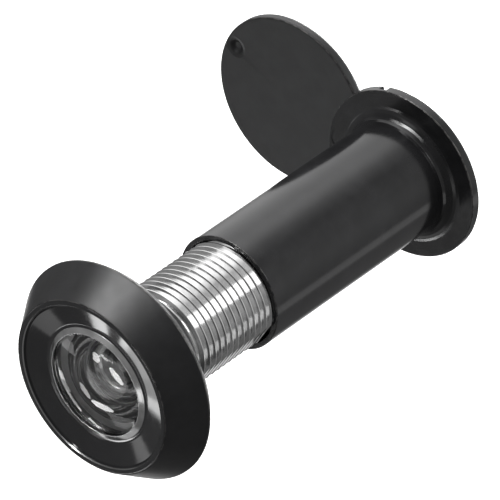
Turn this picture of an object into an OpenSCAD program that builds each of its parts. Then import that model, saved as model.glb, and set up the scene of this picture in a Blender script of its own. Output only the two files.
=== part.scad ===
// Door viewer for a 14 mm hole: an outer head with a threaded barrel, an inner sleeve that screws
// onto it, and a round cover that swings on a rivet. +Y runs along the barrel from the street side
// into the room, +Z is up, and the origin is on the barrel's axis where the gasket meets the door.

/* [Door fit] */
// Thickness of the door that the sleeve is screwed up to
door_t = 46.9; // [35:0.1:55]
// Outer diameter of the sleeve that fills the hole in the door
sleeve_d = 14; // [13.8:0.1:16]

/* [Head] */
// Widest diameter of the flared head
head_d = 26.4; // [24:0.2:32]
// Diameter of the head at its front lip
head_front_d = 21; // [20.6:0.1:23]
// Depth of the flare, from the front lip to the widest rim
flare_h = 4.2; // [3.8:0.1:5]
// Distance of the widest rim from the door's face
rim_gap = 1.6; // [1.4:0.1:2.5]
// Inner diameter of the front lip
lip_d = 20; // [19.2:0.1:20.2]
// Height of the dish's floor below the lip, at the lens
dish_h = 1.15; // [0.8:0.05:1.4]
// Outer diameter of the rubber gasket
gasket_d = 20.4; // [18:0.2:22]
// Thickness of the rubber gasket
gasket_t = 1.2; // [0.8:0.1:1.4]

/* [Neck] */
// Diameter of the neck that enters the door
neck_d = 13.8; // [13.6:0.1:13.8]
// Length of the neck, from the door's face to the thread
neck_len = 4.1; // [3.6:0.1:5]
// Thickness of the sealing ring in the neck's groove
oring_t = 1; // [0.8:0.1:1.1]

/* [Threaded barrel] */
// Major diameter of the thread
thread_d = 12.7; // [12.4:0.05:12.7]
// Turns of thread per inch
thread_tpi = 27; // [24:1:32]
// Length of thread behind the neck
thread_len = 26; // [20:0.5:26]
// Diameter of the barrel's bore
barrel_bore_d = 9.8; // [9:0.1:10]
// Distance from the axis to each flat milled along the thread
flat_h = 5.95; // [5.9:0.05:6.3]
// Direction that the first flat faces, about the axis from +X towards +Z
flat_angle = -31; // [-180:1:180]

/* [Lenses] */
// Diameter of the front lens
objective_d = 13.6; // [13.4:0.1:13.6]
// Radius of the front lens's domed face
objective_dome_r = 34; // [30:1:60]
// Radius of the hollow in the back of the front lens
objective_hollow_r = 5.5; // [5.3:0.1:6]
// Thickness of the front lens at its middle
objective_mid_t = 1.1; // [0.8:0.1:1.6]
// Radius of the second lens's hollow faces
second_hollow_r = 7; // [6.5:0.5:12]
// Radius of the third lens's domed faces
third_dome_r = 12; // [11:0.5:20]
// Radius of the eyepiece's face on the barrel's side
eyepiece_front_r = 19; // [18:0.5:30]
// Radius of the eyepiece's face on the room's side
eyepiece_back_r = 45; // [40:1:90]

/* [Sleeve and flange] */
// Length of the sleeve, from its mouth to the flange
sleeve_len = 30; // [29.5:0.1:32]
// Inner diameter of the sleeve, over the crests of the thread
sleeve_bore_d = 12.8; // [12.8:0.05:12.85]
// Diameter of the flange in the room
flange_d = 20.9; // [20.5:0.1:24]
// Thickness of the flange
flange_t = 1.2; // [1.1:0.1:1.6]
// Radius of the fillet between the sleeve and the flange
fillet_r = 1.5; // [0.5:0.1:1.6]
// Width of the two slots that take a coin or a spanner
slot_w = 1.1; // [0.8:0.1:1.5]
// Depth of the slots
slot_h = 0.85; // [0.4:0.05:0.9]
// Direction of the slots about the axis, from +X towards +Z
slot_angle = 107; // [90:1:120]

/* [Cover] */
// Diameter of the cover
cover_d = 21.2; // [21:0.1:24]
// Thickness of the cover
cover_t = 1.3; // [1.2:0.1:1.8]
// Gap between the flange and the cover
cover_gap = 0.3; // [0.3:0.05:0.6]
// Distance of the cover's pivot from the axis
pivot_r = 8.75; // [8.7:0.05:8.8]
// Direction of the pivot about the axis, from +X towards +Z
pivot_angle = 175; // [165:1:190]
// Diameter of the rivet's shank
rivet_d = 1.9; // [1.6:0.1:2]
// Diameter of the dimple in the cover
dimple_d = 1.9; // [1.2:0.1:2.2]
// Depth of the dimple
dimple_h = 0.5; // [0.3:0.05:0.7]
// Distance of the dimple from the cover's middle
dimple_r = 9.1; // [8.6:0.1:9.1]
// Direction of the dimple from the open cover's middle, from +X towards +Z
dimple_angle = 154; // [140:1:165]

/* [Hidden] */
$fn = 96;

black = [0.06, 0.06, 0.065];
nickel = [0.78, 0.77, 0.75];
glass = [0.75, 0.85, 0.88, 0.5];
rubber = [0.03, 0.03, 0.03];

lens_fn = 600;                    // facets of a lens's large sphere in a preview
eps = 0.02;                       // play between pieces that are pressed or glued together
cut = 1;                          // how far a cutting shape runs past a face
edge = 0.2;                       // small chamfer on a turned edge

// head, from the street side to the door
head_r = head_d / 2;
rim_y = -rim_gap;
lip_y = rim_y - flare_h;
lip_round = 0.35;
back_y = rim_y + 0.9;
dish_y = lip_y + dish_h;
gasket_y = -gasket_t;
bezel_out_r = objective_d / 2 + eps;
bezel_in_r = 6.15;
bezel_h = 0.45;                   // how far the bezel stands out of the dish
lens_hole_r = objective_d / 2 + 2 * eps;
seal_t = 0.3;
seal_well_r = objective_d / 2 - 0.6;
web_y = -0.6;                     // front face of the web behind the front lens
web_t = 1;
lens_back = web_y - seal_t;
web_hole_r = 4.4;
spigot_r = 5.7;                   // plain end of the barrel, inside the neck
spigot_y = web_y + web_t;
oring_y = neck_len - 1.1;
oring_r = neck_d / 2 + 0.2 - oring_t / 2;

// barrel
pitch = 25.4 / thread_tpi;
thread_r = thread_d / 2;
thread_h = 0.6 * pitch;           // depth of a 60 degree thread with its crest and root cut flat
turns = floor(thread_len / pitch);
barrel_end = neck_len + thread_len;
barrel_bore_r = barrel_bore_d / 2;
stack_r = barrel_bore_r - eps;    // outer radius of what is held in the barrel

// lens stack: where each piece starts, and how long it is
second_t = 2.6;
second_y = spigot_y;
spacer_y = second_y + second_t;
spacer_t = 2.4;
spacer_in_r = 3.9;
third_y = spacer_y + spacer_t;
third_t = 2.6;
stop_y = third_y + third_t;
stop_t = 0.4;
stop_hole_r = 2.6;
retainer_y = stop_y + stop_t;
retainer_t = 2;
retainer_in_r = 4;

// sleeve and eyepiece
sleeve_r = sleeve_d / 2;
sleeve_bore_r = sleeve_bore_d / 2;
mouth_y = door_t - sleeve_len;
flange_r = flange_d / 2;
room_y = door_t + flange_t;
shoulder_y = room_y - 0.9;
eye_hole_r = 5.4;
eye_flare_r = 6.5;
eye_r = sleeve_bore_r - eps;
eye_seat_t = 0.3;
eye_seat_y = shoulder_y - eye_seat_t;
eye_edge_t = 1.4;
eye_y = eye_seat_y - eye_edge_t;
eye_ring_t = 1.4;

// cover
pivot = pivot_r * [cos(pivot_angle), sin(pivot_angle)];
cover_y = room_y + cover_gap;
cover_r = cover_d / 2;
cover_round = 0.45;
dimple_at = 2 * pivot + dimple_r * [cos(dimple_angle), sin(dimple_angle)];
pip_at = 2 * pivot - dimple_at;   // where the dimple comes to lie when the cover is shut
pip_h = 0.2;
pip_r = 0.6;
rivet_r = rivet_d / 2;
rivet_play = 0.05;
rivet_head_r = 1.9;
rivet_head_h = 0.8;
rivet_crown_r = 3;
rivet_foot_r = 1.35;
washer_r = 1.7;
wave_t = 0.25;
cover_back = cover_y + cover_t;
wave_y = cover_back + eps;
head_y = wave_y + wave_t;

// ---- helpers ----

// Turns a shape made along +Z so that it runs along +Y
module along_y() {
    rotate([-90, 0, 0]) children();
}

// Revolves an outline of [radius, y] points about the barrel's axis
module turned(points) {
    along_y() rotate_extrude() polygon(points);
}

// A tube along +Y from y, open at both ends
module tube(y, length, outer, inner) {
    turned([[inner, y], [outer, y], [outer, y + length], [inner, y + length]]);
}

// A round bar along +Y, at [x, z]
module bar(at, y, length, r) {
    translate([at[0], y, at[1]]) along_y() cylinder(h = length, r = r);
}

// Height of a spherical face of radius r over its rim of radius a
function sag(r, a) = r - sqrt(r * r - a * a);

// ---- the head ----

module front_housing() {
    color(black) difference() {
        turned([
            [web_hole_r, web_y], [seal_well_r, web_y], [seal_well_r, lens_back],
            [lens_hole_r, lens_back],
            [lens_hole_r, dish_y], [lip_d / 2 - lip_round, lip_y + lip_round],
            [lip_d / 2 - 0.1, lip_y + 0.06], [lip_d / 2, lip_y], [head_front_d / 2 - lip_round, lip_y],
            [head_front_d / 2 - 0.1, lip_y + 0.1], [head_front_d / 2, lip_y + lip_round],
            [head_r - 0.06, rim_y - 0.2], [head_r, rim_y - 0.06], [head_r, rim_y + 0.06],
            [head_r - 0.08, rim_y + 0.16], [head_r - 0.7, back_y],
            [gasket_d / 2 + 0.2, back_y], [gasket_d / 2 + 0.2, gasket_y],
            [neck_d / 2, gasket_y], [neck_d / 2, neck_len - edge], [neck_d / 2 - edge, neck_len],
            [spigot_r + eps, neck_len], [spigot_r + eps, spigot_y], [web_hole_r, spigot_y]
        ]);
        along_y() translate([0, 0, oring_y]) rotate_extrude() translate([oring_r, 0])
            circle(d = oring_t + 2 * eps);
    }
}

module objective_bezel() {
    color(nickel) turned([
        [bezel_in_r, dish_y - bezel_h], [bezel_in_r + 0.08, dish_y - bezel_h],
        [bezel_out_r, dish_y - 0.04], [bezel_out_r, dish_y + 0.5], [bezel_in_r, dish_y + 0.5]
    ]);
}

module objective_lens() {
    front = dish_y - bezel_h - sag(objective_dome_r, bezel_in_r) + 0.05;
    step = dish_y + 0.5;
    color(glass) difference() {
        intersection() {
            turned([
                [0, front - cut], [bezel_in_r - eps, front - cut], [bezel_in_r - eps, step + eps],
                [objective_d / 2, step + eps], [objective_d / 2, lens_back], [0, lens_back]
            ]);
            translate([0, front + objective_dome_r, 0]) sphere(r = objective_dome_r, $fn = lens_fn);
        }
        translate([0, front + objective_mid_t + objective_hollow_r, 0])
            sphere(r = objective_hollow_r);
    }
}

module objective_seal() {
    color(rubber) tube(lens_back, seal_t, seal_well_r - 0.05, web_hole_r + 0.4);
}

module door_gasket() {
    color(rubber) turned([
        [neck_d / 2 + 0.1, gasket_y], [gasket_d / 2, gasket_y], [gasket_d / 2, -edge],
        [gasket_d / 2 - edge, 0], [neck_d / 2 + 0.1, 0]
    ]);
}

module neck_seal() {
    color(rubber) along_y() translate([0, 0, oring_y]) rotate_extrude() translate([oring_r, 0])
        circle(d = oring_t);
}

// ---- the threaded barrel ----

// Outline of the thread's ridges, one every pitch, with narrow crests and roots
function ridges() = [
    for (i = [0 : turns - 1], p = [[0.17, 0], [0.525, 1], [0.645, 1], [1, 0]])
        [thread_r - thread_h * (1 - p[1]), neck_len + (i + p[0]) * pitch]
];

module threaded_barrel() {
    color(nickel) difference() {
        turned(concat(
            [[barrel_bore_r, spigot_y + eps], [spigot_r, spigot_y + eps], [spigot_r, neck_len],
             [thread_r - thread_h, neck_len]],
            ridges(),
            [[thread_r - thread_h, barrel_end - edge], [thread_r - thread_h - edge, barrel_end],
             [barrel_bore_r, barrel_end]]
        ));
        for (side = [0, 180])
            rotate([0, -flat_angle - side, 0])
                translate([flat_h, neck_len + 2 * pitch, -thread_r])
                    cube([thread_r, thread_len, thread_d]);
    }
}

// ---- the lenses inside the barrel ----

module second_lens() {
    middle = 0.9;
    color(glass) difference() {
        tube(second_y + eps, second_t - 2 * eps, stack_r, 0);
        for (side = [-1, 1])
            translate([0, second_y + second_t / 2 + side * (middle / 2 + second_hollow_r), 0])
                sphere(r = second_hollow_r);
    }
}

module lens_spacer() {
    color(black) tube(spacer_y, spacer_t, stack_r, spacer_in_r);
}

module third_lens() {
    color(glass) intersection() {
        tube(third_y + eps, third_t - 2 * eps, stack_r, 0);
        for (side = [-1, 1])
            translate([0, third_y + third_t / 2 - side * (third_t / 2 - eps - third_dome_r), 0])
                sphere(r = third_dome_r, $fn = lens_fn);
    }
}

module aperture_stop() {
    color(black) turned([
        [stop_hole_r, stop_y + stop_t / 2], [stop_hole_r + 0.4, stop_y], [stack_r, stop_y],
        [stack_r, stop_y + stop_t], [stop_hole_r, stop_y + stop_t]
    ]);
}

module stack_retainer() {
    notch = 1;
    color(nickel) difference() {
        tube(retainer_y, retainer_t, stack_r, retainer_in_r);
        translate([-barrel_bore_r, retainer_y + retainer_t - notch, -notch / 2])
            cube([2 * barrel_bore_r, notch + cut, notch]);
    }
}

// ---- the sleeve, its flange and the eyepiece ----

module rear_sleeve() {
    color(black) difference() {
        union() {
            turned([
                [sleeve_bore_r, mouth_y + 0.15], [sleeve_bore_r + 0.1, mouth_y],
                [sleeve_r - 0.15, mouth_y], [sleeve_r, mouth_y + 0.15],
                [sleeve_r, door_t - fillet_r], [sleeve_r + fillet_r, door_t],
                [flange_r - 0.12, door_t], [flange_r, door_t + 0.12], [flange_r, room_y - edge],
                [flange_r - edge, room_y], [eye_flare_r, room_y], [eye_hole_r, shoulder_y + 0.3],
                [eye_hole_r, shoulder_y], [sleeve_bore_r, shoulder_y]
            ]);
            detent_pip();
        }
        along_y() translate([0, 0, door_t - fillet_r]) rotate_extrude()
            translate([sleeve_r + fillet_r, 0]) circle(r = fillet_r);
        for (side = [0, 180])
            rotate([0, -slot_angle - side, 0])
                translate([eye_hole_r, room_y - slot_h, -slot_w / 2])
                    cube([flange_r, slot_h + cut, slot_w]);
        bar(pivot, door_t - cut, flange_t + 2 * cut, rivet_r + eps);
        bar(pivot, door_t - fillet_r, fillet_r + 0.5, rivet_foot_r + eps);
    }
}

// The bump that drops into the cover's dimple when the cover is shut
module detent_pip() {
    r = (pip_r * pip_r + pip_h * pip_h) / (2 * pip_h);
    intersection() {
        bar(pip_at, room_y - 0.3, 0.3 + pip_h, pip_r);
        translate([pip_at[0], room_y + pip_h - r, pip_at[1]]) sphere(r = r);
    }
}

module eyepiece_seat() {
    color(rubber) tube(eye_seat_y, eye_seat_t, eye_r - 0.1, eye_hole_r);
}

module eyepiece_lens() {
    front_h = sag(eyepiece_front_r, eye_r);
    back_h = sag(eyepiece_back_r, eye_hole_r);
    color(glass) intersection() {
        turned([
            [0, eye_y - front_h - cut], [eye_r, eye_y - front_h - cut], [eye_r, eye_seat_y],
            [eye_hole_r, eye_seat_y], [eye_hole_r, eye_seat_y + cut], [0, eye_seat_y + cut]
        ]);
        translate([0, eye_y - front_h + eyepiece_front_r, 0]) sphere(r = eyepiece_front_r, $fn = lens_fn);
        translate([0, eye_seat_y + back_h - eyepiece_back_r, 0]) sphere(r = eyepiece_back_r, $fn = lens_fn);
    }
}

module eyepiece_retainer() {
    notch = 1;
    seat_r = 5.6;
    seat_y = eye_y - sag(eyepiece_front_r, eye_r) + sag(eyepiece_front_r, seat_r);
    color(nickel) difference() {
        tube(seat_y - eye_ring_t, eye_ring_t, eye_r, seat_r - 0.3);
        translate([0, eye_y - sag(eyepiece_front_r, eye_r) + eyepiece_front_r, 0])
            sphere(r = eyepiece_front_r, $fn = lens_fn);
        translate([-sleeve_bore_r, seat_y - eye_ring_t - cut, -notch / 2])
            cube([sleeve_bore_d, cut + 0.6, notch]);
    }
}

// ---- the cover and its pivot ----

module cover_disc() {
    color(black) difference() {
        translate([2 * pivot[0], 0, 2 * pivot[1]]) {
            tube(cover_y + edge, cover_t - edge - cover_round, cover_r, 0);
            turned([
                [0, cover_y], [cover_r - edge, cover_y], [cover_r, cover_y + edge],
                [cover_r, cover_y + edge + eps], [0, cover_y + edge + eps]
            ]);
            tube(cover_back - cover_round - eps, cover_round + eps, cover_r - cover_round, 0);
            along_y() translate([0, 0, cover_back - cover_round]) rotate_extrude()
                translate([cover_r - cover_round, 0]) circle(r = cover_round);
        }
        bar(pivot, cover_y - cut, cover_t + 2 * cut, rivet_r + rivet_play);
        bar(dimple_at, cover_y - cut, cut + dimple_h, dimple_d / 2);
    }
}

module cover_rivet() {
    foot_y = door_t + 0.05;
    foot_back = foot_y + 0.45 - eps;
    rings = 6;
    color(black) translate([pivot[0], 0, pivot[1]]) turned(concat(
        [[0, foot_y], [rivet_foot_r, foot_y], [rivet_foot_r, foot_back], [rivet_r, foot_back],
         [rivet_r, head_y]],
        [[rivet_head_r, head_y]],
        [for (i = [rings : -1 : 0]) [rivet_head_r * i / rings, crown(rivet_head_r * i / rings)]]
    ));
}

// Height along Y of the rivet's crowned head at distance x from its middle
function crown(x) = head_y + rivet_head_h - sag(rivet_crown_r, x);

module cover_washer() {
    color(nickel) difference() {
        bar(pivot, room_y, cover_gap - 2 * eps, washer_r);
        bar(pivot, room_y - cut, 2 * cut, rivet_r + eps);
    }
}

module wave_washer() {
    color(nickel) difference() {
        bar(pivot, wave_y, wave_t - eps, washer_r);
        bar(pivot, wave_y - cut, 2 * cut, rivet_r + eps);
    }
}

front_housing();
objective_bezel();
objective_lens();
objective_seal();
door_gasket();
neck_seal();
threaded_barrel();
second_lens();
lens_spacer();
third_lens();
aperture_stop();
stack_retainer();
rear_sleeve();
cover_rivet();
cover_washer();
wave_washer();
eyepiece_retainer();
eyepiece_lens();
eyepiece_seat();
cover_disc();
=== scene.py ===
"""A door viewer on a pale studio floor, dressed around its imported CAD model.

Lengths in the outlines are in millimetres: a radius from the piece's own axis, and a place along Y.
"""

import math

import bmesh
import bpy
from mathutils import Matrix, Quaternion, Vector


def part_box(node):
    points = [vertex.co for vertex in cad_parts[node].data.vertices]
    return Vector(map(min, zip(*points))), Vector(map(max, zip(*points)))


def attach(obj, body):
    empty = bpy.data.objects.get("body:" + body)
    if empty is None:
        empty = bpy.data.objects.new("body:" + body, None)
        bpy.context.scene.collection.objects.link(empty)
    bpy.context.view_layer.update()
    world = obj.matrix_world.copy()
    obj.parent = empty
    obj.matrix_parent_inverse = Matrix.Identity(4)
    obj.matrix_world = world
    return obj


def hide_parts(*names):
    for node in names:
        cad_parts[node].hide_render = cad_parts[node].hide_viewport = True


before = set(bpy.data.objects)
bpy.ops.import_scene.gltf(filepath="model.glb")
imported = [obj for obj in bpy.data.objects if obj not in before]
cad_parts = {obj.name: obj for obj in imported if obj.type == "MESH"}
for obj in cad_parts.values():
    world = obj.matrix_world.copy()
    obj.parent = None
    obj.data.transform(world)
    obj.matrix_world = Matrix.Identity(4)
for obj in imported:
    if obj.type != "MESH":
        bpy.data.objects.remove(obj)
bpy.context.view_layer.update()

MM = 0.001
TURN = 2 * math.pi
SEGMENTS = 192                     # facets round a turned piece
SMALL_SEGMENTS = 64                # facets round a small one
FILLET_STEP = math.radians(18)     # largest turn between two points of a fillet
HOLD = 0.06                        # width of the strip that keeps a flat face flat beside a fillet
SHARP = math.radians(32)           # an edge that turns more than this is drawn sharp


# ---- sizes, read from the CAD model ----


def reach(node):
    """Largest radius of a piece that is round about the barrel's axis, in mm."""
    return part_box(node)[1].z / MM


def start(node):
    """Where a piece begins along Y, in mm."""
    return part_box(node)[0].y / MM


def end(node):
    """Where a piece ends along Y, in mm."""
    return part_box(node)[1].y / MM


def middle(node):
    """The x and z of the middle of a piece's box, in mm."""
    low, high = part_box(node)
    return (low.x + high.x) / 2 / MM, (low.z + high.z) / 2 / MM


HEAD_R = reach("front_housing")
LIP_Y = start("front_housing")
NECK_END = end("front_housing")
GASKET_Y = start("door_gasket")
SEAL_PROUD = 0.2                   # height of the neck's sealing ring over the neck
NECK_R = reach("neck_seal") - SEAL_PROUD
LENS_R = reach("objective_lens")
BEZEL_Y = start("objective_bezel")
BEZEL_R = reach("objective_bezel")
LENS_BACK = end("objective_lens")
THREAD_R = reach("threaded_barrel")
BARREL_END = end("threaded_barrel")
SPIGOT_Y = start("threaded_barrel")
STACK_R = reach("second_lens")
MOUTH_Y = start("rear_sleeve")
SLEEVE_BORE_R = reach("eyepiece_lens") + 0.02
FLANGE_R = reach("rear_sleeve")
FLANGE_T = 1.2                     # thickness of the flange
WASHER_T = 0.26                    # thickness of the washer that lies on it
ROOM_Y = end("cover_washer") - WASHER_T
DOOR_Y = ROOM_Y - FLANGE_T
COVER_R = (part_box("cover_disc")[1].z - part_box("cover_disc")[0].z) / 2 / MM
COVER_AT = middle("cover_disc")
PIVOT = middle("cover_rivet")
COVER_Y = start("cover_disc")
COVER_BACK = end("cover_disc")

PITCH = 25.4 / 27                  # 27 turns of thread an inch
SLEEVE_R = 7.0                     # the sleeve fills a 14 mm hole
BEZEL_IN_R = 6.15                  # inside of the bezel
HEAD_FRONT_R = 10.5                # outside of the front lip
LIP_R = 10.0                       # inside of the front lip
DISH_Y = BEZEL_Y + 0.45            # floor of the dish at the bezel
BEZEL_BACK = DISH_Y + 0.5          # back of the bezel, on the lens's shoulder
COVE = 0.16                        # rise of the dish's floor to the bezel
RIM_Y = -1.6                       # the head's widest rim
DIMPLE_ANGLE = math.radians(154)   # direction of the cover's dimple from the cover's middle
DIMPLE_FAR = 9.1                   # its distance from there, and the bump's from the barrel's axis


# ---- outlines ----


def rounded(corners, closed=True):
    """The points of an outline of corners (radius, y, fillet)."""
    points = []
    for i, (r, y, fillet) in enumerate(corners):
        here = Vector((r, y))
        if fillet == 0:
            points.append(here)
            continue
        before = (Vector(corners[i - 1][:2]) - here).normalized()
        after = (Vector(corners[(i + 1) % len(corners)][:2]) - here).normalized()
        half = before.angle(after) / 2
        centre = here + (before + after).normalized() * fillet / math.sin(half)
        first = here + before * fillet / math.tan(half) - centre
        last = here + after * fillet / math.tan(half) - centre
        sweep = first.angle_signed(last)
        steps = max(2, math.ceil(abs(sweep) / FILLET_STEP))
        for k in range(steps + 1):
            angle = -sweep * k / steps
            points.append(centre + Matrix.Rotation(angle, 2) @ first)
    held = []
    for here, there in zip(points, points[1:] + points[:1]):
        held.append(here)
        if there is points[0] and not closed:
            break
        if (there - here).length > 5 * HOLD:
            step = (there - here).normalized() * HOLD
            held += [here + step, there - step]
    return held


def dome(apex_y, radius, rim_r, bulge, count=24):
    """Points of a spherical face from the axis out to rim_r; bulge is -1 where it bulges towards -Y."""
    points = []
    for k in range(count + 1):
        r = rim_r * k / count
        drop = radius - math.sqrt(radius * radius - r * r)
        points.append(Vector((r, apex_y - bulge * drop)))
    return points


def circle(centre_r, centre_y, radius, count=32):
    """Points of a round cross-section, such as a sealing ring's."""
    return [
        Vector((centre_r + radius * math.cos(TURN * k / count),
                centre_y + radius * math.sin(TURN * k / count)))
        for k in range(count)
    ]


# ---- meshes ----


def finish_mesh(name, bm, materials=()):
    """Turns a bmesh in millimetres into an object, with its faces turned outward and its materials given.
    """
    bmesh.ops.remove_doubles(bm, verts=bm.verts, dist=0.0004)
    bmesh.ops.dissolve_degenerate(bm, dist=0.0002, edges=bm.edges)
    bmesh.ops.recalc_face_normals(bm, faces=bm.faces)
    bmesh.ops.scale(bm, vec=(MM, MM, MM), verts=bm.verts)
    mesh = bpy.data.meshes.new(name)
    bm.to_mesh(mesh)
    bm.free()
    for item in materials:
        mesh.materials.append(item)
    piece = bpy.data.objects.new(name, mesh)
    bpy.context.scene.collection.objects.link(piece)
    return piece


def shade(piece):
    """Smooth shading, with sharp edges where the surface really turns."""
    piece.data.shade_smooth()
    piece.data.set_sharp_from_angle(angle=SHARP)
    normals = piece.modifiers.new("normals", "WEIGHTED_NORMAL")
    normals.keep_sharp = True
    normals.weight = 80
    return piece


def turned(name, outline, materials=(), at=(0.0, 0.0), segments=SEGMENTS):
    """Revolves a closed outline about an axis along Y through at."""
    bm = bmesh.new()
    rings = []
    for k in range(segments):
        a = TURN * k / segments
        rings.append([
            bm.verts.new((at[0] + r * math.cos(a), y, at[1] + r * math.sin(a))) for r, y in outline
        ])
    for k, here in enumerate(rings):
        there = rings[(k + 1) % segments]
        for i in range(len(outline)):
            j = (i + 1) % len(outline)
            if outline[i][0] > 0 or outline[j][0] > 0:
                bm.faces.new((here[i], here[j], there[j], there[i]))
    return finish_mesh(name, bm, materials)


def block(low, high, turn=0.0):
    """A box from low to high in mm, turned by an angle about the barrel's axis: a cutting tool."""
    bm = bmesh.new()
    bmesh.ops.create_cube(bm, size=1)
    size = Vector(high) - Vector(low)
    bmesh.ops.scale(bm, vec=size, verts=bm.verts)
    bmesh.ops.translate(bm, vec=(Vector(high) + Vector(low)) / 2, verts=bm.verts)
    bmesh.ops.rotate(bm, matrix=Matrix.Rotation(-turn, 3, "Y"), verts=bm.verts)
    return finish_mesh("tool", bm)


def combine(piece, tool, operation="DIFFERENCE"):
    """Cuts tool out of piece, or joins it on, and removes the tool."""
    step = piece.modifiers.new("combine", "BOOLEAN")
    step.operation = operation
    step.solver = "EXACT"
    step.object = tool
    depsgraph = bpy.context.evaluated_depsgraph_get()
    mesh = bpy.data.meshes.new_from_object(piece.evaluated_get(depsgraph))
    piece.modifiers.clear()
    piece.data = mesh
    bpy.data.objects.remove(tool)
    return piece


# ---- materials ----


WEAR_W = 0.16                      # distance from an edge, in mm, at which its wear ends


class Finish:
    """A material's node tree, with short calls for the nodes that it is made of."""

    def __init__(self, name):
        self.material = bpy.data.materials.new(name)
        self.material.use_nodes = True
        self.tree = self.material.node_tree
        self.shader = self.tree.nodes["Principled BSDF"]
        place = self.node("ShaderNodeTexCoord")
        scaled = self.node("ShaderNodeVectorMath", operation="SCALE")
        scaled.inputs["Scale"].default_value = 1 / MM
        self.link(place.outputs["Object"], scaled.inputs[0])
        self.place = scaled.outputs[0]

    def node(self, kind, **settings):
        made = self.tree.nodes.new(kind)
        for key, value in settings.items():
            setattr(made, key, value)
        return made

    def link(self, source, socket):
        self.tree.links.new(source, socket)

    def put(self, value, socket):
        """Links an output to a socket, or sets the socket to a number."""
        if isinstance(value, bpy.types.NodeSocket):
            self.link(value, socket)
        else:
            socket.default_value = value

    def math(self, operation, a, b=0.0):
        made = self.node("ShaderNodeMath", operation=operation)
        self.put(a, made.inputs[0])
        self.put(b, made.inputs[1])
        return made.outputs[0]

    def polar(self, at=(0.0, 0.0)):
        """(radius, angle, y) of the shaded point about an axis along Y, in mm and turns."""
        split = self.node("ShaderNodeSeparateXYZ")
        self.link(self.place, split.inputs[0])
        x = self.math("SUBTRACT", split.outputs[0], at[0])
        z = self.math("SUBTRACT", split.outputs[2], at[1])
        squares = self.math("ADD", self.math("MULTIPLY", x, x), self.math("MULTIPLY", z, z))
        angle = self.math("DIVIDE", self.math("ARCTAN2", z, x), TURN)
        return self.math("SQRT", squares), angle, split.outputs[1]

    def vector(self, x, y, z):
        made = self.node("ShaderNodeCombineXYZ")
        for value, socket in zip((x, y, z), made.inputs):
            self.put(value, socket)
        return made.outputs[0]

    def noise(self, scale, detail=3.0, vector=None):
        """Noise with that many lumps a millimetre, from 0 to 1."""
        made = self.node("ShaderNodeTexNoise")
        self.link(self.place if vector is None else vector, made.inputs["Vector"])
        made.inputs["Scale"].default_value = scale
        made.inputs["Detail"].default_value = detail
        made.inputs["Roughness"].default_value = 0.55
        return made.outputs["Fac"]

    def spread(self, value, low, high, to_low, to_high):
        """Maps low..high smoothly to to_low..to_high, and holds it beyond."""
        made = self.node("ShaderNodeMapRange", interpolation_type="SMOOTHSTEP")
        self.put(value, made.inputs["Value"])
        names = ("From Min", "From Max", "To Min", "To Max")
        for key, number in zip(names, (low, high, to_low, to_high)):
            made.inputs[key].default_value = number
        return made.outputs["Result"]

    def mix(self, factor, a, b):
        made = self.node("ShaderNodeMix", data_type="RGBA")
        self.put(factor, made.inputs["Factor"])
        self.put((*a, 1.0) if isinstance(a, tuple) else a, made.inputs["A"])
        self.put((*b, 1.0) if isinstance(b, tuple) else b, made.inputs["B"])
        return made.outputs["Result"]

    def bump(self, height, depth):
        """Relief: height from 0 to 1 stands for depth in mm."""
        made = self.node("ShaderNodeBump")
        made.inputs["Strength"].default_value = 1.0
        made.inputs["Distance"].default_value = depth * MM
        self.link(height, made.inputs["Height"])
        self.link(made.outputs["Normal"], self.shader.inputs["Normal"])

    def set(self, **values):
        """Sets the shader's sockets: base_color=..., roughness=... and so on."""
        names = {socket.name.lower().replace(" ", "_"): socket for socket in self.shader.inputs}
        for key, value in values.items():
            self.put((*value, 1.0) if isinstance(value, tuple) else value, names[key])


def worn(finish, radius, y, edges):
    """Mask of the wear along turned edges (radius, y): patchy, and gone at WEAR_W from them."""
    mask = None
    for edge_r, edge_y in edges:
        dr = finish.math("SUBTRACT", radius, edge_r)
        dy = finish.math("SUBTRACT", y, edge_y)
        squares = finish.math("ADD", finish.math("MULTIPLY", dr, dr), finish.math("MULTIPLY", dy, dy))
        near = finish.spread(finish.math("SQRT", squares), 0.2 * WEAR_W, WEAR_W, 1.0, 0.0)
        mask = near if mask is None else finish.math("MAXIMUM", mask, near)
    patchy = finish.spread(finish.noise(1.3, 5.0), 0.42, 0.62, 0.0, 1.0)
    return finish.math("MULTIPLY", mask, patchy)


def enamel(name, roughness, grain, edges=(), at=(0.0, 0.0), tone=0.011, shine=0.5):
    """Baked black enamel: a little mottled, with a grain of that many mm, and thin on the edges."""
    f = Finish(name)
    radius, angle, y = f.polar(at)
    dark = (tone, tone, tone * 1.06)
    light = (tone * 1.5, tone * 1.5, tone * 1.6)
    colour = f.mix(f.spread(f.noise(0.35, 4.0), 0.35, 0.7, 0.0, 1.0), dark, light)
    cloud = f.spread(f.noise(0.9, 5.0), 0.3, 0.7, -0.02, 0.02)
    rough = f.math("ADD", cloud, roughness)
    if edges:
        mask = worn(f, radius, y, edges)
        colour = f.mix(f.math("MULTIPLY", mask, 0.8), colour, (0.16, 0.155, 0.15))
        f.set(metallic=f.math("MULTIPLY", mask, 0.7))
    turned_lines = f.noise(9.0, 2.0, f.vector(radius, f.math("MULTIPLY", angle, 1.5), y))
    peel = f.math("ADD", f.noise(5.5, 3.0), f.math("MULTIPLY", turned_lines, 0.6))
    f.bump(peel, grain)
    f.set(base_color=colour, roughness=rough, specular_ior_level=shine)
    return f.material


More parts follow.
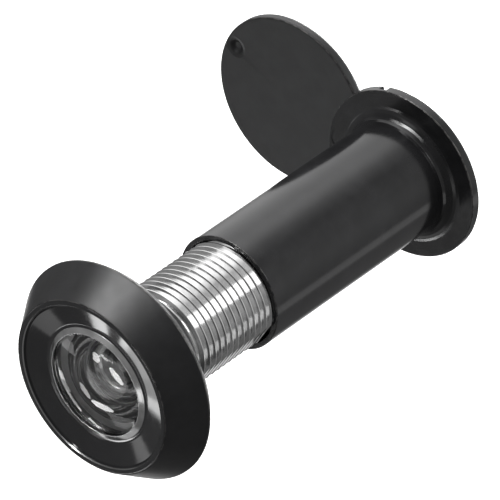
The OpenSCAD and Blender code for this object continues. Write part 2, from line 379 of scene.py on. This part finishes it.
def gloss(name):
    """The same enamel, flowed smooth and glossy, with faint rings left by the turning under it."""
    f = Finish(name)
    radius, angle, _ = f.polar()
    colour = f.mix(f.noise(0.5, 3.0), (0.008, 0.008, 0.009), (0.014, 0.014, 0.015))
    rings = f.noise(7.0, 3.0, f.vector(radius, angle, 0.0))
    smear = f.spread(f.noise(0.7, 4.0), 0.35, 0.75, 0.0, 0.05)
    f.set(base_color=colour, roughness=f.math("ADD", smear, 0.07), specular_ior_level=0.5)
    f.bump(rings, 0.0009)
    return f.material


def plate(name, colour, roughness, lines=0.0012):
    """Bright plate over a turned surface: fine lines run round it, and its gloss is a little uneven."""
    f = Finish(name)
    around = f.vector(*(f.math("MULTIPLY", part, 6.0) for part in f.polar()))
    streaks = f.noise(3.0, 4.0, around)
    tint = tuple(c * 0.82 for c in colour)
    base = f.mix(f.spread(f.noise(0.6, 5.0), 0.35, 0.7, 0.0, 1.0), colour, tint)
    rough = f.math("ADD", f.spread(streaks, 0.3, 0.7, -0.04, 0.05), roughness)
    f.bump(streaks, lines)
    f.set(base_color=base, roughness=rough, metallic=1.0)
    return f.material


def rubber(name, tone):
    """Moulded rubber, dull, with a fine matt skin and a bloom of dust."""
    f = Finish(name)
    dust = f.spread(f.noise(0.8, 6.0), 0.45, 0.75, 0.0, 1.0)
    f.set(base_color=f.mix(dust, (tone, tone, tone), (tone + 0.021, tone + 0.02, tone + 0.019)))
    f.set(roughness=f.spread(f.noise(3.0, 4.0), 0.3, 0.7, 0.5, 0.72), specular_ior_level=0.4)
    f.bump(f.noise(14.0, 3.0), 0.004)
    return f.material


def anodised(name):
    """Matt black anodised metal, with the turning lines that catch stray light."""
    f = Finish(name)
    radius, angle, y = f.polar()
    ribs = f.noise(5.0, 2.0, f.vector(radius, f.math("MULTIPLY", angle, 0.5), f.math("MULTIPLY", y, 2.0)))
    f.set(base_color=f.mix(f.noise(1.2, 4.0), (0.012, 0.012, 0.013), (0.03, 0.03, 0.032)))
    f.set(roughness=f.spread(ribs, 0.3, 0.7, 0.34, 0.55))
    f.bump(ribs, 0.0015)
    return f.material


def glass(name, tint):
    """Polished optical glass, with the faintest smear on it."""
    f = Finish(name)
    smear = f.spread(f.noise(0.45, 6.0), 0.52, 0.8, 0.0, 0.05)
    f.set(base_color=tint, roughness=smear, ior=1.52, transmission_weight=1.0, specular_ior_level=0.5)
    return f.material


HEAD_EDGES = ((HEAD_FRONT_R - 0.05, LIP_Y + 0.1), (LIP_R, LIP_Y + 0.03), (HEAD_R, RIM_Y))
SLEEVE_EDGES = (
    (SLEEVE_R, MOUTH_Y), (SLEEVE_BORE_R, MOUTH_Y), (FLANGE_R, DOOR_Y + 0.05), (FLANGE_R, ROOM_Y - 0.1),
)
COVER_EDGES = ((COVER_R, COVER_Y), (COVER_R, COVER_BACK - 0.1))

FINISHES = {
    "head": enamel("head_enamel", 0.36, 0.0045, HEAD_EDGES),
    "dish": gloss("dish_gloss"),
    "sleeve": enamel("sleeve_enamel", 0.155, 0.0012, SLEEVE_EDGES),
    "cover": enamel("cover_enamel", 0.40, 0.005, COVER_EDGES, COVER_AT, tone=0.010, shine=0.35),
    "rivet": enamel("rivet_enamel", 0.18, 0.0015, at=PIVOT),
    "bezel": plate("bezel_plate", (0.60, 0.60, 0.60), 0.14, 0.0006),
    "nickel": plate("nickel_plate", (0.74, 0.74, 0.74), 0.12),
    "turned": plate("turned_plate", (0.60, 0.60, 0.60), 0.26, 0.0006),
    "washer": plate("washer_plate", (0.56, 0.56, 0.57), 0.30, 0.002),
    "rubber": rubber("black_rubber", 0.014),
    "grey_rubber": rubber("grey_rubber", 0.20),
    "anodised": anodised("black_anodising"),
    "front_glass": glass("front_glass", (0.98, 0.98, 0.98)),
    "inner_glass": glass("inner_glass", (0.80, 0.80, 0.80)),
}


# ---- the outer half ----


def add(piece, body, nodes):
    """Shades a piece, says what it rides on, and hides the CAD pieces that it stands for."""
    shade(piece)
    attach(piece, body)
    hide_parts(*nodes)
    return piece


def head():
    """The flared head: dish, lip, flare, rim, neck and the web behind the front lens."""
    web_hole, seal_well, seal_h, well = 4.4, 6.2, 0.3, LENS_R + 0.04
    spigot_hole, spigot_y = 5.72, 0.4
    recess_r, back_y = 10.4, RIM_Y + 0.9
    groove_y, groove_half, groove_r = NECK_END - 1.1, 0.52, NECK_R - 0.75
    step_in, step_out = LIP_R - 0.17, LIP_R - 0.07      # ends of the lip's outer step, which gets a strip of bright plate: a painted highlight line on the enamel lip
    outline = rounded([
        (web_hole, LENS_BACK + seal_h, 0.05), (seal_well, LENS_BACK + seal_h, 0),
        (seal_well, LENS_BACK, 0.03), (well, LENS_BACK, 0),
        (well, DISH_Y - COVE + 0.01, 0.02), (well + 0.30, DISH_Y - 0.10, 0.45),
        (LIP_R - 0.36, LIP_Y + 0.36, 0.02), (LIP_R - 0.26, LIP_Y + 0.217, 0.02),
        (step_in, LIP_Y + 0.165, 0.02), (step_out, LIP_Y + 0.022, 0.02),
        (LIP_R - 0.02, LIP_Y, 0.015), (HEAD_FRONT_R, LIP_Y, 0.28),
        (HEAD_R, RIM_Y - 0.12, 0.12), (HEAD_R, RIM_Y + 0.10, 0.10), (HEAD_R - 0.7, back_y, 0.2),
        (recess_r, back_y, 0.05), (recess_r, GASKET_Y, 0.05), (NECK_R, GASKET_Y, 0),
        (NECK_R, groove_y - groove_half, 0.06), (groove_r, groove_y - groove_half, 0.2),
        (groove_r, groove_y + groove_half, 0.2), (NECK_R, groove_y + groove_half, 0.06),
        (NECK_R, NECK_END, 0.18), (spigot_hole, NECK_END, 0.05), (spigot_hole, spigot_y, 0),
        (web_hole, spigot_y, 0.05),
    ])
    piece = turned("head_shell", outline, (FINISHES["head"], FINISHES["dish"], FINISHES["bezel"]))
    for face in piece.data.polygons:
        place = face.center / MM
        radius = math.hypot(place.x, place.z)
        inside = radius < HEAD_FRONT_R - 0.05 and place.y < DISH_Y + 0.6
        # the lip's outer step gets bright plate in place of enamel, so that it shows as a painted
        # highlight line along the lip
        plated_highlight_strip = step_in < radius < step_out and place.y < DISH_Y
        face.material_index = 2 if plated_highlight_strip else 1 if inside else 0
    add(piece, "outer_half", ["front_housing"])


def bezel():
    """The bevelled ring round the front lens."""
    outline = rounded([
        (BEZEL_IN_R, BEZEL_Y, 0.03), (BEZEL_IN_R + 0.09, BEZEL_Y, 0.03), (BEZEL_R, DISH_Y - COVE, 0.02),
        (BEZEL_R, BEZEL_BACK, 0), (BEZEL_IN_R, BEZEL_BACK, 0),
    ])
    add(turned("lens_bezel", outline, (FINISHES["bezel"],)), "outer_half", ["objective_bezel"])


def front_lens():
    """The front lens: a shallow dome in front, a shoulder under the bezel, and a deep hollow behind."""
    dome_r, hollow_r, middle_t, rim = 22.0, 5.5, 1.1, BEZEL_IN_R - 0.02
    apex = start("objective_lens")
    hollow_apex = apex + middle_t
    hollow_rim = math.sqrt(hollow_r**2 - (hollow_apex + hollow_r - LENS_BACK) ** 2)
    outline = dome(apex, dome_r, rim - 0.05, -1)
    outline += rounded([
        (rim, outline[-1].y + 0.05, 0), (rim, BEZEL_BACK + 0.02, 0), (LENS_R, BEZEL_BACK + 0.02, 0),
    ], closed=False)
    outline += [Vector((LENS_R, LENS_BACK - 0.1)), Vector((LENS_R - 0.1, LENS_BACK))]
    outline += [Vector((hollow_rim + 0.05, LENS_BACK))]
    outline += list(reversed(dome(hollow_apex, hollow_r, hollow_rim, -1, 40)))
    piece = turned("front_lens", outline, (FINISHES["front_glass"],))
    add(piece, "outer_half", ["objective_lens"])


def inner_lenses():
    """The two lenses in the barrel: one hollow on both faces, one domed on both."""
    hollow_r, half_t, chamfer = 7.0, 0.45, 0.1
    front, back = start("second_lens"), end("second_lens")
    mid = (front + back) / 2
    rim = math.sqrt(hollow_r**2 - (mid - half_t - front - hollow_r) ** 2)
    outline = dome(mid - half_t, hollow_r, rim, 1) + [Vector((STACK_R - chamfer, front))]
    outline += [Vector((STACK_R, front + chamfer)), Vector((STACK_R, back - chamfer))]
    outline += [Vector((STACK_R - chamfer, back))]
    outline += list(reversed(dome(mid + half_t, hollow_r, rim, -1)))
    piece = turned("second_glass", outline, (FINISHES["inner_glass"],))
    add(piece, "outer_half", ["second_lens"])

    dome_r, rim = 12.0, STACK_R - 0.05
    outline = dome(start("third_lens"), dome_r, rim, -1)
    outline += list(reversed(dome(end("third_lens"), dome_r, rim, 1)))
    piece = turned("third_glass", outline, (FINISHES["inner_glass"],))
    add(piece, "outer_half", ["third_lens"])


def seals():
    """The gasket behind the head, and the sealing ring in the neck's groove."""
    inner, outer = NECK_R + 0.1, reach("door_gasket")
    outline = rounded([
        (inner, GASKET_Y, 0.05), (outer, GASKET_Y, 0.12), (outer, 0.0, 0.2), (inner, 0.0, 0.05),
    ])
    add(turned("gasket_ring", outline, (FINISHES["rubber"],)), "outer_half", ["door_gasket"])
    cord_r = 0.5
    ring_y = (start("neck_seal") + end("neck_seal")) / 2
    outline = circle(reach("neck_seal") - cord_r, ring_y, cord_r)
    add(turned("neck_ring", outline, (FINISHES["rubber"],)), "outer_half", ["neck_seal"])


def thread_height(phase, depth):
    """Height of the thread over its root at a phase of its pitch, from 0 to 1."""
    rise_from, rise_to, fall_from = 0.17, 0.525, 0.645
    if phase < rise_from:
        return 0.0
    if phase < rise_to:
        return depth * (phase - rise_from) / (rise_to - rise_from)
    if phase < fall_from:
        return depth
    return depth * (1 - phase) / (1 - fall_from)


def threaded_rod(first, last):
    """A solid rod with a true right-hand thread from first to last along Y, run out at both ends."""
    depth = 0.6 * PITCH
    root = THREAD_R - depth
    # the profile's bends, each with a point close on either side, and the middles of its flanks
    phases = (0.0, 0.17, 0.20, 0.35, 0.50, 0.525, 0.55, 0.62, 0.645, 0.67, 0.82, 0.97)
    steps = 144
    rows = int((last - first) / PITCH) + 3
    bm = bmesh.new()
    columns = []
    for k in range(steps + 1):
        turn = k / steps
        column = []
        for row in range(-1, rows):
            for phase in phases:
                y = first + (row + phase + turn) * PITCH
                y_kept = min(max(y, first), last)
                run_in = min(max((y_kept - first) / (0.9 * PITCH), 0.0), 1.0)
                run_out = min(max((last - y_kept) / (0.8 * PITCH), 0.0), 1.0)
                height = thread_height(phase, depth) * min(run_in, run_out)
                r = root + (height if y == y_kept else 0.0)
                a = -TURN * turn
                column.append(bm.verts.new((r * math.cos(a), y_kept, r * math.sin(a))))
        columns.append(column)
    for here, there in zip(columns, columns[1:]):
        for i in range(len(here) - 1):
            bm.faces.new((here[i], here[i + 1], there[i + 1], there[i]))
    bmesh.ops.remove_doubles(bm, verts=bm.verts, dist=0.0004)
    bmesh.ops.dissolve_degenerate(bm, dist=0.0002, edges=bm.edges)
    bmesh.ops.holes_fill(bm, edges=[e for e in bm.edges if e.is_boundary])
    return finish_mesh("barrel_thread", bm, (FINISHES["nickel"], FINISHES["anodised"]))


def barrel():
    """The nickel barrel: its thread, the spigot that enters the head, the bore, and two milled flats."""
    first, last = NECK_END, BARREL_END
    piece = threaded_rod(first, last)
    bore, bore_chamfer, spigot = 4.9, 0.3, 5.7
    combine(piece, turned("tool", rounded([
        (0, SPIGOT_Y, 0), (spigot, SPIGOT_Y, 0.1), (spigot, first + 0.5, 0), (0, first + 0.5, 0),
    ])), "UNION")
    combine(piece, turned("tool", rounded([
        (0, SPIGOT_Y - 1, 0), (bore, SPIGOT_Y - 1, 0), (bore, last - 0.2, 0),
        (bore + bore_chamfer, last + 0.1, 0), (bore + bore_chamfer, last + 1, 0), (0, last + 1, 0),
    ])))
    bore_reach = (bore + bore_chamfer + 0.05) * MM
    for face in piece.data.polygons:
        face.material_index = 1 if math.hypot(face.center.x, face.center.z) < bore_reach else 0
    flat_h, flat_angle = 6.04, math.radians(-31)
    for side in (0.0, math.pi):
        tool = block((flat_h, first + 2 * PITCH, -8), (8, last + 1, 8), flat_angle + side)
        combine(piece, tool)
    add(piece, "outer_half", ["threaded_barrel"])


# ---- the inner sleeve and the cover ----


def sleeve():
    """The black sleeve and its flange, with two coin slots, the rivet's hole and the bump."""
    fillet, shoulder, eye_r, eye_flare = 1.5, ROOM_Y - 0.9, 5.4, 6.5
    outline = rounded([
        (SLEEVE_BORE_R, MOUTH_Y, 0.10), (SLEEVE_R, MOUTH_Y, 0.14), (SLEEVE_R, DOOR_Y, fillet),
        (FLANGE_R, DOOR_Y, 0.12), (FLANGE_R, ROOM_Y, 0.20), (eye_flare, ROOM_Y, 0.12),
        (eye_r, shoulder + 0.3, 0.05), (eye_r, shoulder, 0.04), (SLEEVE_BORE_R, shoulder, 0),
    ])
    piece = turned("sleeve_body", outline, (FINISHES["sleeve"],))
    slot_w, slot_h, slot_angle = 1.1, 0.85, math.radians(107)
    low, high = (eye_r - 0.3, ROOM_Y - slot_h, -slot_w / 2), (FLANGE_R + 1, ROOM_Y + 1, slot_w / 2)
    for side in (0.0, math.pi):
        combine(piece, block(low, high, slot_angle + side))
    foot_r, foot_h, hole_r, mouth_r = 1.37, 0.5, 0.97, 1.15
    hole = rounded([
        (0, DOOR_Y - 1, 0), (foot_r, DOOR_Y - 1, 0), (foot_r, DOOR_Y + foot_h, 0),
        (hole_r, DOOR_Y + foot_h, 0), (hole_r, ROOM_Y - 0.1, 0), (mouth_r, ROOM_Y + 0.08, 0),
        (mouth_r, ROOM_Y + 1, 0), (0, ROOM_Y + 1, 0),
    ])
    combine(piece, turned("tool", hole, at=PIVOT, segments=SMALL_SEGMENTS))
    bump_r, bump_h, bump_angle = 0.6, 0.2, DIMPLE_ANGLE - math.pi
    bump_at = (DIMPLE_FAR * math.cos(bump_angle), DIMPLE_FAR * math.sin(bump_angle))
    ball_r = (bump_r**2 + bump_h**2) / (2 * bump_h)
    bump = list(reversed(dome(ROOM_Y + bump_h, ball_r, bump_r, 1, 10)))
    bump += [Vector((0, ROOM_Y - 0.3)), Vector((bump_r, ROOM_Y - 0.3))]
    combine(piece, turned("tool", bump, at=bump_at, segments=SMALL_SEGMENTS), "UNION")
    add(piece, "inner_sleeve", ["rear_sleeve"])


def eyepiece():
    """The lens that the eye looks into."""
    rim, eye_r = reach("eyepiece_lens"), 5.4
    front, back = start("eyepiece_lens"), end("eyepiece_lens")
    seat = start("eyepiece_seat")
    front_r, back_r, chamfer = 19.0, 45.0, 0.08
    outline = dome(front, front_r, rim - 0.05, -1)
    outline += [Vector((rim, outline[-1].y + chamfer)), Vector((rim, seat - chamfer))]
    outline += [Vector((rim - chamfer, seat)), Vector((eye_r + 0.02, seat))]
    outline += list(reversed(dome(back, back_r, eye_r, 1)))
    piece = turned("eye_lens", outline, (FINISHES["front_glass"],))
    add(piece, "eyepiece_cell", ["eyepiece_lens"])


def cover():
    """The round swing cover, with its dimple and the rivet's hole."""
    outline = rounded([
        (0, COVER_Y, 0), (COVER_R, COVER_Y, 0.20), (COVER_R, COVER_BACK, 0.45), (0, COVER_BACK, 0),
    ])
    piece = turned("cover_plate", outline, (FINISHES["cover"],), at=COVER_AT)
    dimple_r, mouth_r, dimple_h = 0.95, 1.4, 0.5
    dimple_at = (COVER_AT[0] + DIMPLE_FAR * math.cos(DIMPLE_ANGLE),
                 COVER_AT[1] + DIMPLE_FAR * math.sin(DIMPLE_ANGLE))
    dimple = rounded([
        (0, COVER_Y - 1, 0), (mouth_r, COVER_Y - 1, 0), (mouth_r, COVER_Y, 0),
        (dimple_r - 0.02, COVER_Y + 0.12, 0.4), (dimple_r - 0.5, COVER_Y + dimple_h, 0.4),
        (0, COVER_Y + dimple_h, 0),
    ])
    combine(piece, turned("tool", dimple, at=dimple_at, segments=SMALL_SEGMENTS))
    hole_r = 1.0
    hole = rounded([
        (0, COVER_Y - 1, 0), (hole_r, COVER_Y - 1, 0), (hole_r, COVER_BACK + 1, 0), (0, COVER_BACK + 1, 0),
    ])
    combine(piece, turned("tool", hole, at=PIVOT, segments=SMALL_SEGMENTS))
    add(piece, "cover", ["cover_disc"])


def rivet():
    """The rivet that the cover turns on, its head crowned and its foot flush in the flange."""
    foot, back = start("cover_rivet"), end("cover_rivet")
    shank_r, foot_r, foot_h, head_r, crown_r, head_h = 0.95, 1.36, 0.43, 1.9, 3.0, 0.8
    outline = rounded([
        (0, foot, 0), (foot_r, foot, 0.02), (foot_r, foot + foot_h, 0), (shank_r, foot + foot_h, 0),
        (shank_r, back - head_h, 0), (head_r, back - head_h, 0),
    ], closed=False)
    outline += list(reversed(dome(back, crown_r, head_r - 0.03, 1, 14)))
    piece = turned("rivet_body", outline, (FINISHES["rivet"],), at=PIVOT, segments=SMALL_SEGMENTS)
    add(piece, "inner_sleeve", ["cover_rivet"])


def spring_washer():
    """The waved washer under the rivet's head: three waves in a thin ring."""
    low, high = start("wave_washer"), end("wave_washer")
    thick, inner, outer, waves = 0.11, 0.99, 1.68, 3
    swing = (high - low - thick) / 2
    bm = bmesh.new()
    rings = []
    for k in range(SMALL_SEGMENTS):
        a = TURN * k / SMALL_SEGMENTS
        y = (low + high) / 2 + swing * math.sin(waves * a)
        under, over = y - thick / 2, y + thick / 2
        corners = ((inner, under), (outer, under), (outer, over), (inner, over))
        rings.append([
            bm.verts.new((PIVOT[0] + r * math.cos(a), h, PIVOT[1] + r * math.sin(a))) for r, h in corners
        ])
    for k, here in enumerate(rings):
        there = rings[(k + 1) % SMALL_SEGMENTS]
        for i in range(len(here)):
            j = (i + 1) % len(here)
            bm.faces.new((here[i], here[j], there[j], there[i]))
    piece = finish_mesh("wave_ring", bm, (FINISHES["washer"],))
    add(piece, "inner_sleeve", ["wave_washer"])


def dress_cad_nodes():
    """The CAD pieces that stay as they are get their finish."""
    for node, finish in (
        ("objective_seal", "grey_rubber"), ("eyepiece_seat", "rubber"), ("lens_spacer", "anodised"),
        ("aperture_stop", "anodised"), ("stack_retainer", "turned"), ("eyepiece_retainer", "turned"),
        ("cover_washer", "washer"),
    ):
        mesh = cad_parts[node].data
        mesh.materials.clear()
        mesh.materials.append(FINISHES[finish])


# ---- studio ----


def toward(azimuth, elevation):
    """A direction from the object: azimuth 0 is the street side, 90 is +X, and 180 is the room side."""
    a, e = math.radians(azimuth), math.radians(elevation)
    return Vector((math.sin(a) * math.cos(e), -math.cos(a) * math.cos(e), math.sin(e)))


def camera():
    """The camera, a long lens about 0.6 m away, at the photograph's viewing angle."""
    target, distance = Vector((-2.87, 24.0, 0.61)) * MM, 607.8 * MM
    back = toward(40.209, 35.488)
    data = bpy.data.cameras.new("camera")
    data.sensor_width = 36.0
    data.lens = 395.742
    item = bpy.data.objects.new("camera", data)
    item.location = target + back * distance
    item.rotation_mode = "QUATERNION"
    item.rotation_quaternion = (-back).to_track_quat("-Z", "Y")
    bpy.context.scene.collection.objects.link(item)
    bpy.context.scene.camera = item


def softbox(name, azimuth, elevation, wide, high, radiance, lean=0.0, shape="RECTANGLE"):
    """A far softbox that fills wide by high degrees of the object's surroundings, leaning by an angle."""
    z = toward(azimuth, elevation)
    distance = 2.0
    light = bpy.data.lights.new(name, "AREA")
    light.shape = shape
    light.size = 2 * distance * math.tan(math.radians(wide / 2))
    light.size_y = 2 * distance * math.tan(math.radians(high / 2))
    area = light.size * light.size_y * (math.pi / 4 if shape == "ELLIPSE" else 1.0)
    light.energy = radiance * math.pi * area
    item = bpy.data.objects.new(name, light)
    item.rotation_mode = "QUATERNION"
    item.rotation_quaternion = z.to_track_quat("Z", "Y") @ Quaternion((0, 0, 1), math.radians(lean))
    item.location = z * distance
    bpy.context.scene.collection.objects.link(item)


# The room's soft patches of light: (azimuth, elevation, radiance, radius of the core, radius), in degrees.
GLOWS = (
    (-140, 30, 1.35, 0, 56),
    (-125, 69, 1.6, 5, 33),
    (135, 64, 0.6, 0, 22),
    (106, 2, 0.25, 0, 36),
    (-134, -46, 0.9, 0, 22),
    (160, 0, 0.3, 0, 60),
    (-30, -15, 0.18, 0, 55),
    (120, 35, 0.15, 0, 50),
)
ROOM_BASE = 0.14                   # radiance of the room away from them


def room_light():
    """A dim room with soft patches of light, the brightest of them behind on the left."""
    world = bpy.data.worlds.new("room")
    world.use_nodes = True
    bpy.context.scene.world = world
    tree = world.node_tree
    place = tree.nodes.new("ShaderNodeTexCoord")
    total = None
    for azimuth, elevation, radiance, inner, outer in GLOWS:
        dot = tree.nodes.new("ShaderNodeVectorMath")
        dot.operation = "DOT_PRODUCT"
        dot.inputs[1].default_value = toward(azimuth, elevation)
        tree.links.new(place.outputs["Generated"], dot.inputs[0])
        glow = tree.nodes.new("ShaderNodeMapRange")
        glow.interpolation_type = "SMOOTHSTEP"
        glow.inputs["From Min"].default_value = math.cos(math.radians(outer))
        glow.inputs["From Max"].default_value = math.cos(math.radians(inner))
        glow.inputs["To Min"].default_value = 0.0
        glow.inputs["To Max"].default_value = radiance
        tree.links.new(dot.outputs["Value"], glow.inputs["Value"])
        if total is None:
            total = glow.outputs["Result"]
        else:
            plus = tree.nodes.new("ShaderNodeMath")
            tree.links.new(total, plus.inputs[0])
            tree.links.new(glow.outputs["Result"], plus.inputs[1])
            total = plus.outputs[0]
    base = tree.nodes.new("ShaderNodeMath")
    base.inputs[1].default_value = ROOM_BASE
    tree.links.new(total, base.inputs[0])
    background = tree.nodes["Background"]
    background.inputs["Color"].default_value = (1.0, 1.0, 1.0, 1.0)
    tree.links.new(base.outputs[0], background.inputs["Strength"])


def softboxes():
    """The softboxes, each named for what it lights or for where its reflection shows."""
    softbox("key", -38, 60, 34, 8, 20.0)
    softbox("front_high", -22, 31, 18, 16, 1.0)
    softbox("rim_left", -160, 10, 24, 14, 30.0)
    softbox("rim_right", 160, -8, 16, 40, 10.0)
    softbox("right_high", 116, 38, 22, 24, 3.0)
    softbox("left_low", -140, -30, 30, 16, 2.0)
    softbox("right_low", 137, -28, 14, 10, 0.5)
    softbox("right_side", 99, -30, 16, 20, 0.8)
    softbox("thread_b", -26, 15, 18, 10, 0.8)
    softbox("ring_right", 13.5, -25, 9, 12, 1.2)
    softbox("ring_low", -45, -67, 36, 12, 0.45)
    softbox("dish_a", -75, -53.8, 9, 2.8, 4.8)
    softbox("dish_b", -81, -47.5, 12, 6.0, 2.0)
    softbox("dish_b_core", -81, -49.8, 12, 1.3, 2.2)
    softbox("dish_c", -78, -41, 12, 7.0, 1.6)
    softbox("dish_c_core", -77, -39.7, 12, 2.8, 2.6)
    softbox("dish_d", -58, -24.5, 14, 5.0, 1.4)
    softbox("dish_e", -28, -51, 16, 7, 0.9)
    softbox("lip_right", 12, 60, 18, 3, 9.0, -14)
    softbox("lip_left", -63, 48.5, 13, 3, 9.0, 38)
    softbox("lens_spot", -33.4, -20, 4.6, 4.6, 9.0, shape="ELLIPSE")
    softbox("lens_glint", -20.8, -24.4, 9.5, 3.8, 13.0, -44, "ELLIPSE")
    softbox("lens_streak_a", -51, -40.5, 6.0, 4.0, 4.0, -70, "ELLIPSE")
    softbox("lens_streak_b", -41, -45, 12, 3.4, 9.0, -5, "ELLIPSE")


def floor():
    """A plain pale floor, just below the lowest place that the open cover reaches as the sleeve turns."""
    mesh = bpy.data.meshes.new("floor")
    size, clearance = 3.0, 0.3
    height = -(math.hypot(*COVER_AT) + COVER_R + clearance) * MM
    corners = [(-size, -size, height), (size, -size, height), (size, size, height), (-size, size, height)]
    mesh.from_pydata(corners, [], [(0, 1, 2, 3)])
    f = Finish("floor_paper")
    f.set(base_color=(0.93, 0.93, 0.93), roughness=0.9, specular_ior_level=0.1)
    f.set(emission_color=(1.0, 1.0, 1.0), emission_strength=0.6)
    mesh.materials.append(f.material)
    item = bpy.data.objects.new("floor", mesh)
    item.visible_glossy = False
    item.visible_diffuse = False
    item.visible_shadow = False
    bpy.context.scene.collection.objects.link(item)


camera()
head()
bezel()
front_lens()
inner_lenses()
seals()
barrel()
sleeve()
eyepiece()
cover()
rivet()
spring_washer()
dress_cad_nodes()
room_light()
softboxes()
floor()
bpy.context.scene.view_settings.view_transform = "Standard"
